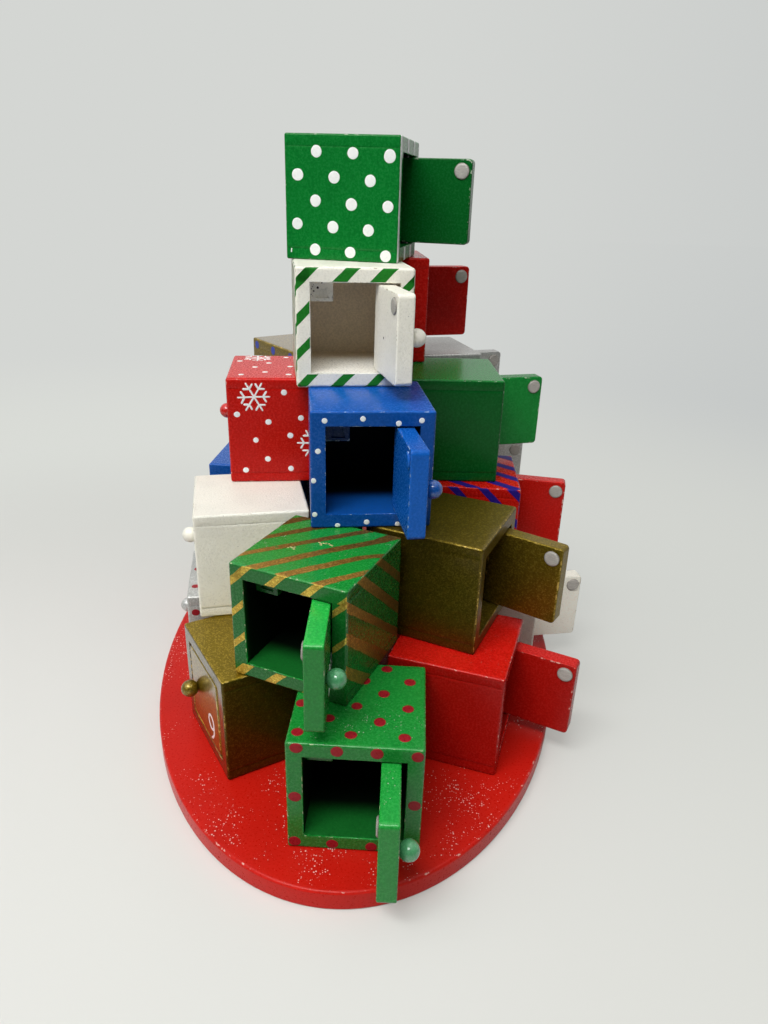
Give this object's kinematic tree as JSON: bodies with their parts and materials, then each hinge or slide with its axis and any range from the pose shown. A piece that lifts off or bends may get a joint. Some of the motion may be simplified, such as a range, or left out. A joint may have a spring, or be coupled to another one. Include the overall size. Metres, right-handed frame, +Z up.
{
  "type": "wooden advent calendar",
  "caption": "Stack of small painted cube boxes with hinged magnetic doors, in stepped tiers on an oval wooden base board, for daily gifts.",
  "frame": {"origin": "centre of the oval base board's underside", "axes": "+Z up, -Y towards the front of the calendar, along the base board's long axis, +X to the viewer's right"},
  "size_m": [0.3107, 0.5087, 0.362],
  "materials": {
    "red_paint": "satin red paint on wood, brushed by hand",
    "green_paint": "satin green paint on wood, brushed by hand",
    "blue_paint": "satin blue paint on wood, brushed by hand",
    "white_paint": "satin off-white paint on wood, brushed by hand",
    "gold_paint": "metallic old-gold paint on wood with fine flake",
    "silver_paint": "metallic silver-grey paint on wood with fine flake",
    "block_paint": "same paint as the box that holds the block",
    "plated_steel": "plated steel",
    "magnet_metal": "nickel-plated magnet",
    "trim_paint": "thin painted dots, stripes, snowflakes and numerals"
  },
  "bodies": {
    "root": {"base_board": "red_paint", "base_screws": "plated_steel", "hinge_pins": "plated_steel", "hinge_washers": "plated_steel", "magnet_blocks": "block_paint", "magnets": "magnet_metal", "box_01": "green_paint", "box_02": "blue_paint", "box_03": "blue_paint", "box_04": "gold_paint", "box_05": "gold_paint", "box_06": "silver_paint", "box_07": "red_paint", "box_08": "gold_paint", "box_09": "gold_paint", "box_10": "red_paint", "box_11": "silver_paint", "box_12": "white_paint", "box_13": "red_paint", "box_14": "white_paint", "box_15": "green_paint", "box_16": "red_paint", "box_17": "silver_paint", "box_18": "blue_paint", "box_19": "red_paint", "box_20": "green_paint", "box_21": "white_paint", "box_22": "green_paint", "box_23": "white_paint", "box_24": "green_paint"},
    "leaf_01": {"door_01": "green_paint"},
    "leaf_02": {"door_02": "blue_paint"},
    "leaf_03": {"door_03": "blue_paint"},
    "leaf_04": {"door_04": "gold_paint"},
    "leaf_05": {"door_05": "gold_paint"},
    "leaf_06": {"door_06": "silver_paint"},
    "leaf_07": {"door_07": "red_paint"},
    "leaf_08": {"door_08": "gold_paint"},
    "leaf_09": {"door_09": "gold_paint"},
    "leaf_10": {"door_10": "red_paint"},
    "leaf_11": {"door_11": "silver_paint"},
    "leaf_12": {"door_12": "white_paint"},
    "leaf_13": {"door_13": "red_paint"},
    "leaf_14": {"door_14": "white_paint"},
    "leaf_15": {"door_15": "green_paint"},
    "leaf_16": {"door_16": "red_paint"},
    "leaf_17": {"door_17": "silver_paint"},
    "leaf_18": {"door_18": "blue_paint"},
    "leaf_19": {"door_19": "red_paint"},
    "leaf_20": {"door_20": "green_paint"},
    "leaf_21": {"door_21": "white_paint"},
    "leaf_22": {"door_22": "green_paint"},
    "leaf_23": {"door_23": "white_paint"},
    "leaf_24": {"door_24": "green_paint"}
  },
  "joints": [
    {"name": "door_01_hinge", "type": "hinge", "parent": "root", "child": "leaf_01", "pos_m": [0.02687, -0.21721, 0.047], "axis": [0, 0, 1], "range_deg": [-91, 22.5]},
    {"name": "door_02_hinge", "type": "hinge", "parent": "root", "child": "leaf_02", "pos_m": [-0.10442, -0.00411, 0.117], "axis": [0, 0, 1], "range_deg": [0, 113.5]},
    {"name": "door_03_hinge", "type": "hinge", "parent": "root", "child": "leaf_03", "pos_m": [0.0272, -0.10906, 0.187], "axis": [0, 0, 1], "range_deg": [-93, 20.5]},
    {"name": "door_04_hinge", "type": "hinge", "parent": "root", "child": "leaf_04", "pos_m": [0.11505, 0.06522, 0.047], "axis": [0, 0, 1], "range_deg": [0, 113.5]},
    {"name": "door_05_hinge", "type": "hinge", "parent": "root", "child": "leaf_05", "pos_m": [-0.08038, 0.09176, 0.187], "axis": [0, 0, 1], "range_deg": [0, 113.5]},
    {"name": "door_06_hinge", "type": "hinge", "parent": "root", "child": "leaf_06", "pos_m": [-0.11115, -0.07011, 0.047], "axis": [0, 0, 1], "range_deg": [0, 113.5]},
    {"name": "door_07_hinge", "type": "hinge", "parent": "root", "child": "leaf_07", "pos_m": [0.02932, 0.06544, 0.257], "axis": [0, 0, 1], "range_deg": [-104, 9.5]},
    {"name": "door_08_hinge", "type": "hinge", "parent": "root", "child": "leaf_08", "pos_m": [0.08937, -0.08938, 0.117], "axis": [0, 0, 1], "range_deg": [-80, 33.5]},
    {"name": "door_09_hinge", "type": "hinge", "parent": "root", "child": "leaf_09", "pos_m": [-0.07287, -0.16035, 0.047], "axis": [0, 0, 1], "range_deg": [0, 113.5]},
    {"name": "door_10_hinge", "type": "hinge", "parent": "root", "child": "leaf_10", "pos_m": [-0.11828, 0.01938, 0.047], "axis": [0, 0, 1], "range_deg": [0, 113.5]},
    {"name": "door_11_hinge", "type": "hinge", "parent": "root", "child": "leaf_11", "pos_m": [0.06394, 0.10257, 0.187], "axis": [0, 0, 1], "range_deg": [-94, 19.5]},
    {"name": "door_12_hinge", "type": "hinge", "parent": "root", "child": "leaf_12", "pos_m": [0.01273, -0.05717, 0.257], "axis": [0, 0, 1], "range_deg": [-97, 16.5]},
    {"name": "door_13_hinge", "type": "hinge", "parent": "root", "child": "leaf_13", "pos_m": [0.09976, -0.11067, 0.047], "axis": [0, 0, 1], "range_deg": [-81, 32.5]},
    {"name": "door_14_hinge", "type": "hinge", "parent": "root", "child": "leaf_14", "pos_m": [-0.09608, -0.09431, 0.117], "axis": [0, 0, 1], "range_deg": [0, 113.5]},
    {"name": "door_15_hinge", "type": "hinge", "parent": "root", "child": "leaf_15", "pos_m": [-0.09091, 0.12305, 0.047], "axis": [0, 0, 1], "range_deg": [0, 113.5]},
    {"name": "door_16_hinge", "type": "hinge", "parent": "root", "child": "leaf_16", "pos_m": [-0.08386, -0.037, 0.187], "axis": [0, 0, 1], "range_deg": [0, 113.5]},
    {"name": "door_17_hinge", "type": "hinge", "parent": "root", "child": "leaf_17", "pos_m": [0.08495, 0.08762, 0.117], "axis": [0, 0, 1], "range_deg": [-91, 22.5]},
    {"name": "door_18_hinge", "type": "hinge", "parent": "root", "child": "leaf_18", "pos_m": [0.04133, 0.16108, 0.047], "axis": [0, 0, 1], "range_deg": [0, 113.5]},
    {"name": "door_19_hinge", "type": "hinge", "parent": "root", "child": "leaf_19", "pos_m": [0.10412, 0.00604, 0.117], "axis": [0, 0, 1], "range_deg": [-82, 31.5]},
    {"name": "door_20_hinge", "type": "hinge", "parent": "root", "child": "leaf_20", "pos_m": [0.0836, 0.01775, 0.187], "axis": [0, 0, 1], "range_deg": [-104, 9.5]},
    {"name": "door_21_hinge", "type": "hinge", "parent": "root", "child": "leaf_21", "pos_m": [0.12164, -0.01981, 0.047], "axis": [0, 0, 1], "range_deg": [-106, 7.5]},
    {"name": "door_22_hinge", "type": "hinge", "parent": "root", "child": "leaf_22", "pos_m": [-0.01177, -0.18167, 0.117], "axis": [0, 0, 1], "range_deg": [-113, 0.5]},
    {"name": "door_23_hinge", "type": "hinge", "parent": "root", "child": "leaf_23", "pos_m": [-0.06594, 0.1138, 0.117], "axis": [0, 0, 1], "range_deg": [0, 113.5]},
    {"name": "door_24_hinge", "type": "hinge", "parent": "root", "child": "leaf_24", "pos_m": [0.02199, 0.01758, 0.327], "axis": [0, 0, 1], "range_deg": [-85, 28.5]}
  ]
}
